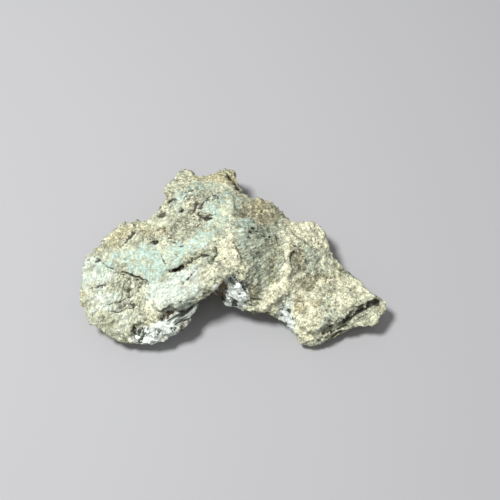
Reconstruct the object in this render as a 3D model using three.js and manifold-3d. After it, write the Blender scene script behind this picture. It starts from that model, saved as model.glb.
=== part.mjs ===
// Raw pyrite: one natural lump of ore with two lobes and a notch between them.
// Millimetres, +Z up. The stone lies on three small feet in the plane z = 0 and
// the middle of its outline is the origin. +X runs to the slab at its right end.
import * as THREE from "three";
import { ConvexGeometry } from "three/addons/geometries/ConvexGeometry.js";
import { ImprovedNoise } from "three/addons/math/ImprovedNoise.js";
import { mergeVertices } from "three/addons/utils/BufferGeometryUtils.js";
import Manifold from "manifold-3d";

// Driving dimensions
const OVERALL_LENGTH = 76.5; // the whole stone along X
const FACET_LENGTH = 5; // longest edge left on a broken face
const WARP_SPACING = 9; // distance between swells of the broken faces
const WARP_HEIGHT = 1.1; // how far a swell moves a face
const CRACK_RIM = 0.8; // half width of a crack's mouth, for each unit of its width
const CRACK_FLOOR = 0.25; // half width of a crack's floor, for each unit of its width
const CRACK_RISE = 0.8; // height of the cutting wedge above the face
const CRACK_OVERLAP = 0.25; // how far each length of a crack runs into the next
const HOLLOW_SIDES = 6; // corners of a hollow
const HOLLOW_RIM = 1.15; // mouth of a hollow, for each unit of its half length
const HOLLOW_FLOOR = 0.55; // floor of a hollow, for each unit of its half length
const HOLLOW_RISE = 0.7; // height of the cutting form above the face
const HOLLOW_UNEVEN = 0.18; // how far a corner of a hollow strays from round
const PLANE_SIZE = 200; // block that planes the feet flat
const PLANE_DEPTH = 20;
const WELD = 1e-4; // corners closer than this are one
const SKY = 60; // height from which cracks and hollows are dropped on the stone

const STONE_COLOUR = 0xb6b89c;
const STONE_ROUGHNESS = 0.55;
const STONE_METALNESS = 0.35;

// The broken blocks that make up the lump. The crown is the outline and relief of
// the upper face as x, y, z. The underside is the crown drawn in by the taper,
// moved by the lean and set at the height of the foot.
const BLOCKS = {
  // Broad striated plate of the left lobe, sloping down to a rounded rim.
  left_plate: {
    crown: [
      [-37.5, -3.5, 9.5], [-38, -7.5, 9], [-38, -11.5, 8.5], [-37.5, -14.5, 8], [-36.5, -17, 7],
      [-35.5, -19, 6], [-33, -19.5, 6], [-31.5, -20.5, 6], [-28, -22.5, 5], [-26, -23.5, 4.5],
      [-24, -24, 4.5], [-20.5, -24, 4.5], [-18, -23.5, 5], [-18, -18.5, 9], [-16.5, -14, 11.5],
      [-18, -11, 13], [-21, -10, 13], [-27.5, -6.5, 12.5], [-33.5, -2, 11], [-37, -2.5, 10],
    ],
    foot: 1.6,
    taper: 0.74,
    lean: [1, 1.5],
  },
  // Raised plate behind it, bounded in front by a thin lip.
  copper_plate: {
    crown: [
      [-35, -1.5, 10.5], [-31, 2, 11.5], [-26.5, 5, 12], [-21, 6.5, 13], [-12, 1, 16.5], [-8, -4, 17],
      [-9.5, -6, 16], [-14, -8.5, 15], [-18, -10.5, 14], [-20.5, -11.5, 13.5], [-27, -8, 13],
      [-33.5, -3.5, 12],
    ],
    foot: 4,
    taper: 0.75,
    lean: [0, 3],
  },
  // Step that climbs from the raised plate to the summit.
  copper_ledge: {
    crown: [
      [-15.5, 1.5, 15.5], [-8.5, 3.5, 17], [-2.5, -1.5, 19.5], [-3, -5.5, 19], [-8.5, -5, 17],
      [-14, -3.5, 16],
    ],
    foot: 5,
    taper: 0.75,
    lean: [0, 2],
  },
  // Thin tongue that overhangs the notch from the left.
  light_plate: {
    crown: [
      [-20, -11, 13], [-18, -9.5, 14], [-15, -8, 14.5], [-11, -6, 15.5], [-8.5, -4.5, 16.5],
      [-6, -5, 17.5], [-3.5, -6, 18.5], [0.5, -8, 19.5], [1.5, -9.5, 18.5], [-0.5, -11, 17.5],
      [-2.5, -12, 16], [-5, -13.5, 14.5], [-7, -15, 13], [-8.5, -16, 12], [-10.5, -16.5, 11.5],
      [-14, -17, 11.5], [-17.5, -18.5, 11], [-19, -17, 11], [-20, -14, 12],
    ],
    foot: 9.2,
    taper: 0.84,
    lean: [-1, 2],
  },
  // Facets under the tongue, down to the lower left corner.
  left_toe: {
    crown: [
      [-20.5, -18.5, 9], [-18, -17, 8.5], [-15, -15, 8.5], [-10, -13, 9.5], [-8.5, -15.5, 9.5],
      [-8.5, -16.5, 8.5], [-10.5, -19, 7.5], [-14, -22, 6], [-17, -23.5, 5], [-19.5, -24, 5],
      [-21, -22, 7], [-19, -21, 8],
    ],
    foot: 2.2,
    taper: 0.72,
    lean: [-1.5, 2.5],
  },
  // Back edge of the left lobe.
  left_rim: {
    crown: [
      [-37.5, -2, 8.5], [-35.5, 0, 9.5], [-32.5, 2, 10], [-29.5, 5, 10], [-28, 7, 10], [-25, 7, 11],
      [-21, 8, 12], [-19, 4, 13.5], [-29, -0.5, 12], [-33.5, -3.5, 11],
    ],
    foot: 2.4,
    taper: 0.92,
    lean: [1, 1],
  },
  // Shoulder that carries the two knobs at the back.
  knob_base: {
    crown: [
      [-21.5, 6.5, 13], [-19.5, 10, 12.5], [-17.5, 13.5, 12], [-14, 13.5, 14.5], [-0.5, 12.5, 16.5],
      [0, 6, 18], [-0.5, -2.5, 20], [-6.5, -4.5, 18], [-12, -4, 16.5], [-17.5, 0.5, 15],
    ],
    foot: 1.8,
    taper: 0.92,
    lean: [0.5, 1.5],
  },
  // Left knob.
  knob_left: {
    crown: [
      [-17.5, 13.5, 12], [-17.5, 17, 12], [-15.5, 19, 12], [-14.5, 22, 11], [-13, 23.5, 10.5],
      [-11.5, 22.5, 11], [-10, 20, 12], [-7, 13.5, 15.5], [-8.5, 8.5, 16.5], [-14, 8.5, 15],
    ],
    foot: 3,
    taper: 0.9,
    lean: [0.5, 1.5],
  },
  // Saddle between the knobs.
  knob_saddle: {
    crown: [
      [-12, 20.5, 11.5], [-8.5, 21, 11.5], [-5, 20.5, 12], [-1.5, 14, 15], [-1, 8, 17.5],
      [-9.5, 9, 16.5], [-13, 15, 14],
    ],
    foot: 2.6,
    taper: 0.9,
    lean: [0, 1.5],
  },
  // Right knob, streaked by two splits.
  knob_right: {
    crown: [
      [-6, 20.5, 12], [-4.5, 22.5, 11.5], [-3, 23.5, 11], [-0.5, 23.5, 10.5], [0.5, 22, 11],
      [1, 19.5, 12], [1.5, 16, 13], [-0.5, 9, 17], [-3.5, 10.5, 16.5],
    ],
    foot: 2,
    taper: 0.88,
    lean: [-0.5, 1.5],
  },
  // Rounded flank that falls from the summit to the right.
  dome: {
    crown: [
      [-1.5, 10.5, 17], [2, 15, 14], [5, 13, 14], [7, 12.5, 13.5], [9, 11.5, 13], [11.5, 9.5, 12],
      [13.5, 7, 11.5], [13.5, 2, 13], [13, -3.5, 12.5], [12, -9, 12], [10, -13, 11], [6, -14.5, 10],
      [2, -13.5, 13.5], [0.5, -10, 18.5], [-1, -2.5, 20.5], [-2, 5.5, 18.5],
    ],
    foot: 2.4,
    taper: 0.84,
    lean: [1, 3],
  },
  // Crust on the summit.
  cream_crust: {
    crown: [
      [-4, -3, 19.5], [-2.5, -2, 20.5], [-1, -3, 21], [1, -5, 21], [1.5, -8, 20], [3.5, -10, 17.5],
      [1.5, -11, 17], [-0.5, -11, 17.5], [-4, -8, 18.5],
    ],
    foot: 9,
    taper: 0.8,
    lean: [0, 1],
  },
  // Broken face under the summit, at the head of the notch.
  mid_upper: {
    crown: [
      [-2.5, -10.5, 12.5], [-1, -9.5, 15], [1.5, -10, 15.5], [4, -12, 13.5], [6.5, -14, 10.5],
      [7, -15, 8], [4, -15.5, 7.5], [0, -14.5, 8], [-2, -13, 9.5],
    ],
    foot: 4.5,
    taper: 0.74,
    lean: [1, 1.5],
  },
  // Lip below that face.
  mid_rim: {
    crown: [
      [-3, -13, 7.5], [-2, -14, 7], [1, -14.5, 6.5], [4, -15, 6], [7.5, -14.5, 6], [9, -14, 8.5],
      [7, -13, 10], [1.5, -12.5, 10], [-1, -12, 9.5],
    ],
    foot: 4,
    taper: 0.78,
    lean: [1, 1.5],
  },
  // Recessed wedge between the tongue and the lip.
  mid_brown: {
    crown: [
      [-5, -11.5, 9.5], [-3, -10.5, 12], [-0.5, -10, 13.5], [-0.5, -12, 9], [-2.5, -13, 7.5],
    ],
    foot: 5,
    taper: 0.7,
    lean: [1, 2],
  },
  // Bridge between the flank and the right lobe.
  valley: {
    crown: [
      [7, 2, 14.5], [13.5, 8, 11], [17, 7.5, 10.5], [17.5, -1.5, 12], [15.5, -11, 11.5],
      [13, -14.5, 9], [8, -14.5, 9], [6, -7, 12],
    ],
    foot: 3,
    taper: 0.8,
    lean: [0, 1.5],
  },
  // Round bump at the back of the right lobe.
  bump: {
    crown: [
      [14, 7.5, 10.5], [16, 7.5, 10.5], [19.5, 8, 10], [21.5, 8, 9.5], [23.5, 5.5, 9], [24.5, 3, 8.5],
      [25, -1, 8.5], [24, -3, 9.5], [20.5, -3, 12], [16, -0.5, 13], [13.5, 3, 13],
    ],
    foot: 1.8,
    taper: 0.88,
    lean: [-0.5, 1.5],
  },
  // Roof-shaped face in front of the bump.
  facet: {
    crown: [
      [13.5, 3.5, 13.5], [17, 0.5, 14], [20.5, -2, 13.5], [25.5, -5, 11.5], [28, -8, 10.5],
      [24, -11, 10.5], [19, -13.5, 11], [15.5, -15.5, 11], [12.5, -13, 12.5], [12, -8.5, 14],
      [12.5, -2, 14.5],
    ],
    foot: 2.4,
    taper: 0.86,
    lean: [0, 2],
  },
  // Thick seam along the left edge of that face, and its foot.
  seam_upper: {
    crown: [
      [12, 5, 13.5], [14, 4, 13.5], [14, -3, 15], [13.5, -8.5, 15], [13, -12, 13], [11, -12, 12.5],
      [11, -8.5, 15], [11.5, -3, 15],
    ],
    foot: 8,
    taper: 0.9,
    lean: [0, 1],
  },
  seam_lower: {
    crown: [
      [13, -11, 13.5], [12.5, -13.5, 11.5], [9, -16, 9.5], [6.5, -16, 8], [5.5, -15, 8.5],
      [8, -13, 11], [11, -10.5, 13],
    ],
    foot: 6,
    taper: 0.84,
    lean: [0.5, 1.5],
  },
  // Upper layer of the slab at the right end.
  slab_top: {
    crown: [
      [16, -12, 11.5], [19, -12, 11.5], [22.5, -9, 11.5], [25.5, -8, 11], [28, -6.5, 10],
      [31, -9, 9.5], [34, -12, 9], [35.5, -13.5, 9], [33.5, -14.5, 9], [31.5, -15.5, 8.5],
      [28.5, -17, 8.5], [25, -19, 8], [22, -20.5, 8], [19.5, -21.5, 7.5], [17.5, -22, 7],
      [16, -20, 8], [15.5, -17, 9.5],
    ],
    foot: 7.2,
    taper: 0.93,
    lean: [0, 0.5],
  },
  // Inset layer below it.
  slab_core: {
    crown: [
      [16, -14.5, 9], [26, -6.5, 9], [33, -12, 8], [33, -13, 8], [29, -15.5, 7.5], [25, -17.5, 7.5],
      [20, -19.5, 7.5], [17, -18.5, 7.5],
    ],
    foot: 2,
    taper: 0.9,
    lean: [0, 2],
  },
  // Lower layer, standing out as a ledge.
  slab_foot: {
    crown: [
      [16.5, -15, 6.5], [25.5, -5.5, 6], [36, -11.5, 7], [38, -13, 6.5], [38.5, -15, 6],
      [37, -17, 6], [35, -18.5, 5.5], [32.5, -19, 5.5], [30, -19.5, 5.5], [28, -20, 5.5],
      [26, -20.5, 5], [24.5, -22.5, 2.5], [20.5, -23, 2.5], [17, -23, 2.5],
    ],
    foot: 1,
    taper: 0.74,
    lean: [-1, 1.5],
  },
  // Low front corner of the slab.
  slab_corner: {
    crown: [
      [15.5, -17, 8.5], [15, -19.5, 5], [16, -20, 7.5], [17.5, -21.5, 6.5], [19.5, -21, 7],
      [23.5, -21, 5.5], [26, -21, 4.5], [24.5, -22.5, 2.5], [20.5, -23.5, 2.5], [17, -23, 2.5],
      [15.5, -21.5, 3.5],
    ],
    foot: 0.3,
    taper: 0.72,
    lean: [0, 1.5],
  },
  // Side of the slab that faces the notch.
  slab_side: {
    crown: [
      [10.5, -15.5, 6], [12, -14.5, 8.5], [14.5, -14.5, 10], [16, -18, 8.5], [15.5, -21.5, 5],
      [14, -19.5, 5], [12.5, -17.5, 5],
    ],
    foot: 2.2,
    taper: 0.72,
    lean: [1, 1],
  },
  // Narrow link between the lip and the slab.
  neck: {
    crown: [
      [7, -14.5, 8.5], [13, -13, 10], [16.5, -14.5, 10], [16, -17, 8], [11, -16.5, 5], [8.5, -15.5, 6],
      [7, -14.5, 6.5],
    ],
    foot: 3,
    taper: 0.78,
    lean: [1, 1.5],
  },
  // Body of the lump, under the summit.
  core: {
    crown: [
      [-13, 10, 13], [-1.5, 11, 15], [6, 10, 12.5], [10, 0, 11.5], [6, -8, 12], [-4, -8, 14.5],
      [-13, -4, 13.5],
    ],
    foot: 1.4,
    taper: 0.9,
    lean: [0, 0],
  },
  // Ledge low on the back, under the knobs.
  back_shelf: {
    crown: [
      [-17, 17, 7], [-14.5, 23, 6.5], [-5, 21.5, 7], [3, 16.5, 7], [7, 14.5, 6.5], [4, 7.5, 8],
      [-11.5, 9, 8],
    ],
    foot: 0.8,
    taper: 0.84,
    lean: [0, 0.5],
  },
  // Ledge low on the back, under the right lobe.
  right_shelf: {
    crown: [
      [8.5, 12, 6.5], [13.5, 7.5, 6], [21.5, 6, 6], [23.5, 0, 5.5], [27.5, -4.5, 5.5], [32, -8.5, 5],
      [29, -12.5, 6], [16.5, -7.5, 7], [9, 1, 7],
    ],
    foot: 0.9,
    taper: 0.84,
    lean: [0, 0.5],
  },
  // Ledge low on the back, under the left lobe.
  left_shelf: {
    crown: [
      [-36, -4, 4.5], [-33, 0.5, 5], [-29, 5.5, 5.5], [-24, 6.5, 5.5], [-19, 5, 6], [-21.5, -1.5, 6],
      [-31, -6.5, 5],
    ],
    foot: 0.7,
    taper: 0.86,
    lean: [0, 0.5],
  },
  // Three feet that reach the surface the stone lies on.
  left_foot: {
    crown: [
      [-33.5, -8, 6], [-26, -5, 7], [-21, -8.5, 6], [-21, -14, 5], [-25.5, -16.5, 4], [-32, -14, 5],
    ],
    foot: -0.6,
    taper: 0.66,
    lean: [0, 0],
  },
  back_foot: {
    crown: [
      [-15.5, 12, 8], [-9, 16, 8], [0, 15, 8], [4, 9, 8], [-3.5, 4.5, 8], [-12.5, 6.5, 8],
    ],
    foot: -0.6,
    taper: 0.6,
    lean: [0, 0],
  },
  right_foot: {
    crown: [
      [17.5, -12.5, 6], [25.5, -7.5, 6], [32.5, -12.5, 6], [28.5, -16.5, 5], [20.5, -20, 5],
      [17, -18, 5],
    ],
    foot: -0.6,
    taper: 0.6,
    lean: [0, 0],
  },
};

// Cracks, as polylines in plan that are dropped on the surface.
const CRACKS = [
  // Under the thin lip of the raised plate
  { line: [[-27.5, -7.5], [-23.5, -10], [-20.5, -11.5], [-18.5, -10.5]], width: 0.5, depth: 0.9 },
  // Between the raised plate and the tongue
  { line: [[-15, -8.5], [-13, -7.5], [-10.5, -6], [-8.5, -4.5]], width: 0.7, depth: 1.4 },
  { line: [[-8.5, -4.5], [-6, -5], [-3.5, -5.5]], width: 0.8, depth: 1.1 },
  // Between the tongue and the facets under it
  { line: [[-18, -18.5], [-16, -18], [-14.5, -17]], width: 0.9, depth: 1.6 },
  // Splits on the right knob
  { line: [[-3, 22], [-1, 19], [1, 15.5]], width: 0.8, depth: 1.1 },
  { line: [[-1, 22], [0, 19.5], [1, 17]], width: 0.6, depth: 0.9 },
  // Back edge of the left lobe
  { line: [[-28, -0.5], [-26.5, 1], [-25, 2.5]], width: 0.9, depth: 0.9 },
  // Top of the slab
  { line: [[18, -12.5], [20, -11.5]], width: 0.9, depth: 1.2 },
];

// Hollows where grains have fallen out: x, y, half length, half width, depth.
const HOLLOWS = [
  [-12.5, 7.5, 0.8, 0.7, 1.4],
  [-16, 11, 1, 0.7, 1.1],
  [-18.5, 7.5, 1.1, 0.8, 1],
  [-19.5, -1, 1.2, 0.8, 1.2],
  [-33.5, -3.5, 1.1, 0.5, 0.9],
  [-8, 6, 0.7, 0.7, 1],
  [-6, 4, 1.2, 0.6, 1.1],
  [-5, 6, 1, 0.6, 0.9],
  [-5, -7.5, 1.5, 1.3, 1.3],
  [5.5, 1.5, 1, 0.8, 0.9],
  [9.5, 0.5, 1.6, 0.6, 0.9],
  [-24, -22, 1.8, 1.3, 1.2],
  [-15, -2, 1.3, 0.6, 0.8],
  [-25.5, -13, 1.2, 0.9, 0.6],
  [-33.5, -12.5, 1.1, 0.8, 0.6],
];

const solids = await Manifold();
solids.setup();

const noise = new ImprovedNoise();
const down = new THREE.Vector3(0, 0, -1);

function solidOf(geometry) {
  const bare = geometry.clone();
  bare.deleteAttribute("normal");
  bare.deleteAttribute("uv");
  const welded = mergeVertices(bare, WELD);
  const mesh = new solids.Mesh({
    numProp: 3,
    vertProperties: new Float32Array(welded.attributes.position.array),
    triVerts: new Uint32Array(welded.index.array),
  });
  return new solids.Manifold(mesh);
}

function hullOf(points) {
  return solidOf(new ConvexGeometry(points.map((p) => new THREE.Vector3(...p))));
}

function geometryOf(solid) {
  const mesh = solid.getMesh();
  const geometry = new THREE.BufferGeometry();
  const corners = new Float32Array(mesh.vertProperties);
  geometry.setAttribute("position", new THREE.BufferAttribute(corners, 3));
  geometry.setIndex(new THREE.BufferAttribute(new Uint32Array(mesh.triVerts), 1));
  return geometry;
}

function blockOf({ crown, foot, taper, lean }) {
  const middle = [0, 1].map((axis) => crown.reduce((sum, p) => sum + p[axis], 0) / crown.length);
  const underside = crown.map((p) => [
    middle[0] + lean[0] + (p[0] - middle[0]) * taper,
    middle[1] + lean[1] + (p[1] - middle[1]) * taper,
    foot,
  ]);
  return hullOf([...crown, ...underside]);
}

// One round of splitting every edge longer than the limit at its middle. Both
// faces of an edge share the new corner, so the skin stays closed.
function splitOnce(corners, faces, limit) {
  const middles = new Map();
  const lengthOf = (a, b) => Math.hypot(...[0, 1, 2].map((k) => corners[3 * a + k] - corners[3 * b + k]));
  const middleOf = (a, b) => {
    if (lengthOf(a, b) <= limit) {
      return -1;
    }
    const key = a < b ? `${a},${b}` : `${b},${a}`;
    if (!middles.has(key)) {
      middles.set(key, corners.length / 3);
      for (let k = 0; k < 3; k++) {
        corners.push((corners[3 * a + k] + corners[3 * b + k]) / 2);
      }
    }
    return middles.get(key);
  };
  const split = [];
  for (let f = 0; f < faces.length; f += 3) {
    let face = [faces[f], faces[f + 1], faces[f + 2]];
    let cut = [middleOf(face[0], face[1]), middleOf(face[1], face[2]), middleOf(face[2], face[0])];
    const count = cut.filter((m) => m >= 0).length;
    // Turn the face so that a lone cut, or the lone whole edge, comes first.
    while ((count === 1 && cut[0] < 0) || (count === 2 && cut[0] >= 0)) {
      face = [face[1], face[2], face[0]];
      cut = [cut[1], cut[2], cut[0]];
    }
    const [a, b, c] = face;
    const [ab, bc, ca] = cut;
    if (count === 0) {
      split.push(a, b, c);
    } else if (count === 1) {
      split.push(a, ab, c, ab, b, c);
    } else if (count === 2) {
      split.push(c, ca, bc);
      if (lengthOf(a, bc) < lengthOf(b, ca)) {
        split.push(a, b, bc, a, bc, ca);
      } else {
        split.push(a, b, ca, b, bc, ca);
      }
    } else {
      split.push(a, ab, ca, ab, b, bc, ca, bc, c, ab, bc, ca);
    }
  }
  return split;
}

// Breaks the long flat faces into short facets and lets them swell and sink.
function weathered(solid) {
  const mesh = solid.getMesh();
  const corners = Array.from(mesh.vertProperties);
  let faces = Array.from(mesh.triVerts);
  let before = 0;
  while (faces.length !== before) {
    before = faces.length;
    faces = splitOnce(corners, faces, FACET_LENGTH);
  }
  for (let i = 0; i < corners.length; i += 3) {
    const [x, y, z] = corners.slice(i, i + 3).map((v) => v / WARP_SPACING);
    corners[i] += WARP_HEIGHT * noise.noise(x, y + 9.1, z);
    corners[i + 1] += WARP_HEIGHT * noise.noise(x + 31.7, y + 9.1, z + 22.2);
    corners[i + 2] += WARP_HEIGHT * noise.noise(x + 63.4, y + 9.1, z + 44.4);
  }
  const vertProperties = new Float32Array(corners);
  const triVerts = new Uint32Array(faces);
  return new solids.Manifold(new solids.Mesh({ numProp: 3, vertProperties, triVerts }));
}

// The point of the upper surface at x, y.
function droppedOn(body, [x, y]) {
  const ray = new THREE.Raycaster(new THREE.Vector3(x, y, SKY), down);
  return ray.intersectObject(body)[0].point;
}

function crackWedge(start, end, width, depth) {
  const along = end.clone().sub(start).setZ(0).normalize();
  const across = new THREE.Vector3(-along.y, along.x, 0);
  const points = [];
  for (const [point, reach] of [[start, -CRACK_OVERLAP], [end, CRACK_OVERLAP]]) {
    const place = point.clone().addScaledVector(along, reach);
    for (const [spread, height] of [[CRACK_RIM, CRACK_RISE], [CRACK_FLOOR, -depth]]) {
      for (const side of [-1, 1]) {
        const corner = place.clone().addScaledVector(across, side * spread * width);
        points.push([corner.x, corner.y, corner.z + height]);
      }
    }
  }
  return hullOf(points);
}

function hollowForm(place, halfLength, halfWidth, depth) {
  const points = [];
  for (let k = 0; k < HOLLOW_SIDES; k++) {
    const turn = (k / HOLLOW_SIDES) * Math.PI * 2 + place.x;
    const uneven = 1 + HOLLOW_UNEVEN * Math.sin(place.y + k * 2.3);
    for (const [spread, height] of [[HOLLOW_RIM, HOLLOW_RISE], [HOLLOW_FLOOR, -depth]]) {
      const x = place.x + Math.cos(turn) * halfLength * uneven * spread;
      const y = place.y + Math.sin(turn) * halfWidth * uneven * spread;
      points.push([x, y, place.z + height]);
    }
  }
  return hullOf(points);
}

function buildStone() {
  const lump = weathered(solids.Manifold.union(Object.values(BLOCKS).map(blockOf)));
  const body = new THREE.Mesh(geometryOf(lump), new THREE.MeshStandardMaterial());
  const cutters = [];
  for (const { line, width, depth } of CRACKS) {
    const points = line.map((p) => droppedOn(body, p));
    for (let i = 1; i < points.length; i++) {
      cutters.push(crackWedge(points[i - 1], points[i], width, depth));
    }
  }
  for (const [x, y, halfLength, halfWidth, depth] of HOLLOWS) {
    cutters.push(hollowForm(droppedOn(body, [x, y]), halfLength, halfWidth, depth));
  }
  const ground = new THREE.BoxGeometry(PLANE_SIZE, PLANE_SIZE, PLANE_DEPTH);
  ground.translate(0, 0, -PLANE_DEPTH / 2);
  cutters.push(solidOf(ground));
  const carved = lump.subtract(solids.Manifold.union(cutters));
  // Chips cut free along the cracks are dropped and the stone itself is kept.
  const stone = carved.decompose().sort((a, b) => b.volume() - a.volume())[0];
  const { min, max } = stone.boundingBox();
  const size = OVERALL_LENGTH / (max[0] - min[0]);
  return stone.translate([-(min[0] + max[0]) / 2, -(min[1] + max[1]) / 2, 0]).scale(size);
}

const geometry = geometryOf(buildStone());
geometry.computeVertexNormals();

const stone = new THREE.Mesh(
  geometry,
  new THREE.MeshStandardMaterial({
    color: STONE_COLOUR,
    roughness: STONE_ROUGHNESS,
    metalness: STONE_METALNESS,
    flatShading: true,
  }),
);
stone.name = "pyrite_stone";
stone.material.name = "pyrite";

const specimen = new THREE.Group();
specimen.name = "raw_pyrite";
specimen.add(stone);

export default specimen;
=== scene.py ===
"""The looks of a lump of raw pyrite: grain, cracks, pits, crusts and tarnish, on a plain stage."""

import math

import bpy
import numpy as np
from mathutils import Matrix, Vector


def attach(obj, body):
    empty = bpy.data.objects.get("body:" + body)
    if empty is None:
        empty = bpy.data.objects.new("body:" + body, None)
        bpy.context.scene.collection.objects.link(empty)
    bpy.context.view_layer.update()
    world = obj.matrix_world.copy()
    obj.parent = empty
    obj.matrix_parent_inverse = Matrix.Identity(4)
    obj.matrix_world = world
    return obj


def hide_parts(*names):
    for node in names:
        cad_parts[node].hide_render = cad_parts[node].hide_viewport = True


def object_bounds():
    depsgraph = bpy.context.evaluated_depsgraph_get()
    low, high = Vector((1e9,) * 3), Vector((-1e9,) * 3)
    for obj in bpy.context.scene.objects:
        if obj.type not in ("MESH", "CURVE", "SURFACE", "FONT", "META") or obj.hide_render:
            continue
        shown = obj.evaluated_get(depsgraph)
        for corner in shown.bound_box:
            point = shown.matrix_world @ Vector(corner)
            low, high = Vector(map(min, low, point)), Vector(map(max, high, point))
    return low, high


bl_info = {
    "name": "Raw pyrite",
    "version": (1, 0, 0),
    "blender": (4, 5, 0),
    "location": "3D View > Sidebar > Raw pyrite",
    "description": "Dresses the packed lump with grain, cracks, pits and crusts",
    "category": "Add Mesh",
}

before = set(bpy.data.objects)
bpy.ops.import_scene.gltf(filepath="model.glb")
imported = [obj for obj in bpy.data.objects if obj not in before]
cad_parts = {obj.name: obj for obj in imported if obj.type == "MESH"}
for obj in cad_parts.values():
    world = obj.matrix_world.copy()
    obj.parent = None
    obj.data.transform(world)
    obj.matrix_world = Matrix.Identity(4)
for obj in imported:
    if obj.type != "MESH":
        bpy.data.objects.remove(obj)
CAD_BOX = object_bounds()

MM = 0.001
NODE = "pyrite_stone"
PIECE = "pyrite_lump"

# The stage: camera angle, aim, lens, sensor and view, and the soft light over the stone.
CAMERA_ELEVATION = math.radians(62.0)
CAMERA_TARGET = Vector((4.01, -0.794, 10.0)) * MM
CAMERA_LENS = 70.0
CAMERA_SENSOR = 36.0
PICTURE_WIDTH = 500
PIXEL_SIZE = 0.25 * MM
CLIP_START = 0.01
KEY_DIRECTION = Vector((-0.38, -0.02, 0.92)).normalized()
KEY_DISTANCE = 0.55
KEY_SIZE = 0.13
FLOOR_DROP = 0.00002
FLOOR_ROUGHNESS = 0.85
WHITE = (1.0, 1.0, 1.0, 1.0)

# Relief of the finish.
BUMP_STRENGTH = 0.5
BUMP_DISTANCE = 0.5 * MM

# Patches of crust and tarnish, a few of them painted shade and painted light, seen from above, in
# millimetres: middle x, middle y, half length, half width, turn in degrees, strength and, where a
# patch lies under an overhang, its highest z.
# The grounds further down have the same form.
MINT_PATCHES = [
    (-21.1, -5.6, 8.0, 4.4, -12, 1.0), (-29.8, -4.6, 5.5, 2.2, 25, 0.8),
    (-15.2, -5.4, 4.6, 3.2, 30, 0.95), (-21.0, -9.2, 3.8, 2.0, -25, 1.0),
    (-8.4, -2.2, 4.6, 2.6, 30, 1.1), (-4.4, 2.4, 2.6, 2.8, 20, 0.65), (-3.0, 5.0, 2.8, 4.2, 0, 0.9),
    (-6.6, 7.8, 2.8, 1.7, 0, 0.95), (-13.5, 12.2, 2.2, 2.0, 0, 0.95),
    (-13.6, 9.8, 1.7, 1.7, 0, 0.9), (-17.0, 5.6, 4.6, 2.0, 30, 0.5), (-3.0, 9.2, 5.4, 5.0, 0, 0.75),
    (-8.4, 14.6, 6.4, 3.4, 0, 0.65), (2.6, 0.0, 2.8, 5.4, -10, 0.6),
    (23.8, -16.0, 3.0, 2.0, 20, 0.6), (-10.5, -11.6, 5.0, 2.0, 35, 0.45),
    (-33.0, -9.0, 2.6, 3.4, 0, 0.2),
]
OCHRE_PATCHES = [
    (-29.0, 1.8, 6.5, 2.2, 38, 0.8), (-20.6, 2.8, 4.5, 2.4, -10, 0.7),
    (-11.2, -5.2, 2.0, 1.5, 40, 0.75), (-5.0, 18.8, 6.5, 2.6, 0, 0.85),
    (-0.6, 20.0, 2.4, 3.4, 0, 0.95), (-12.5, 19.0, 3.0, 2.2, 0, 0.45),
    (6.2, 9.4, 1.6, 3.4, 20, 0.85), (9.5, 8.4, 4.2, 2.4, -25, 0.35),
    (16.2, -16.2, 1.3, 2.4, 0, 0.95), (20.0, -15.4, 1.4, 1.2, 0, 0.9),
    (14.8, -3.4, 1.4, 3.2, 0, 0.6), (25.0, -8.0, 3.0, 2.0, 0, 0.45),
    (-36.2, -14.0, 1.6, 4.0, 10, 0.6), (-30.4, -18.4, 3.4, 1.4, -25, 0.55),
    (-13.0, 3.6, 4.0, 1.6, 20, 0.35), (-9.0, 8.8, 3.4, 1.2, 20, 0.5),
    (-16.4, 13.6, 1.8, 3.2, 0, 0.5), (-14.8, -19.2, 2.0, 0.9, 30, 0.5),
]
# The two dome patches, at 6.7, -4.4 and 6.2, 5.6, are partly painted shade: the dome is darker
# where it faces away from the light.
GREY_AND_SHADE_PATCHES = [
    (6.7, -4.4, 6.1, 8.4, 0, 1.0), (6.2, 5.6, 6.6, 5.4, 0, 0.85), (18.2, -5.2, 3.4, 3.6, -10, 0.8),
    (-25.6, -12.8, 3.6, 4.8, 0, 0.25), (-4.2, 0.6, 2.4, 2.6, 0, 1.0),
    (35.8, -14.8, 1.8, 2.8, 20, 1.0), (-5.4, -7.3, 2.0, 1.5, 10, 1.4),
    (-14.0, 6.0, 6.0, 2.4, 25, 0.2), (-6.9, -2.6, 2.6, 2.2, 0, 0.5),
    (22.4, -19.3, 2.4, 1.0, 25, 1.15),
]
UMBER_PATCHES = [
    (15.8, -5.4, 1.6, 3.8, 0, 0.9), (20.2, -16.2, 0.9, 0.7, 0, 0.9), (-7.6, 19.6, 4.4, 2.0, 0, 0.4),
    (20.0, -10.0, 7.0, 1.5, 12, 0.95), (19.2, -0.6, 4.6, 0.8, -42, 0.8),
    (6.4, 7.6, 6.2, 4.2, 0, 1.0), (1.6, 13.4, 2.8, 3.4, 0, 0.65), (-1.6, 17.6, 3.4, 1.8, 0, 0.6),
    (9.9, -5.6, 2.3, 6.6, -8, 0.65), (3.6, -13.4, 1.6, 1.2, 0, 0.8),
    (-25.4, -13.4, 3.0, 4.2, 0, 0.2), (26.5, -6.5, 2.6, 1.6, -20, 0.6),
    (35.6, -14.0, 1.5, 2.4, 20, 0.9), (7.0, 10.6, 2.6, 1.6, -30, 1.0),
    (0.8, 18.2, 1.3, 3.2, 20, 1.2), (-9.6, 5.6, 4.4, 1.6, 0, 0.4),
]
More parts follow.
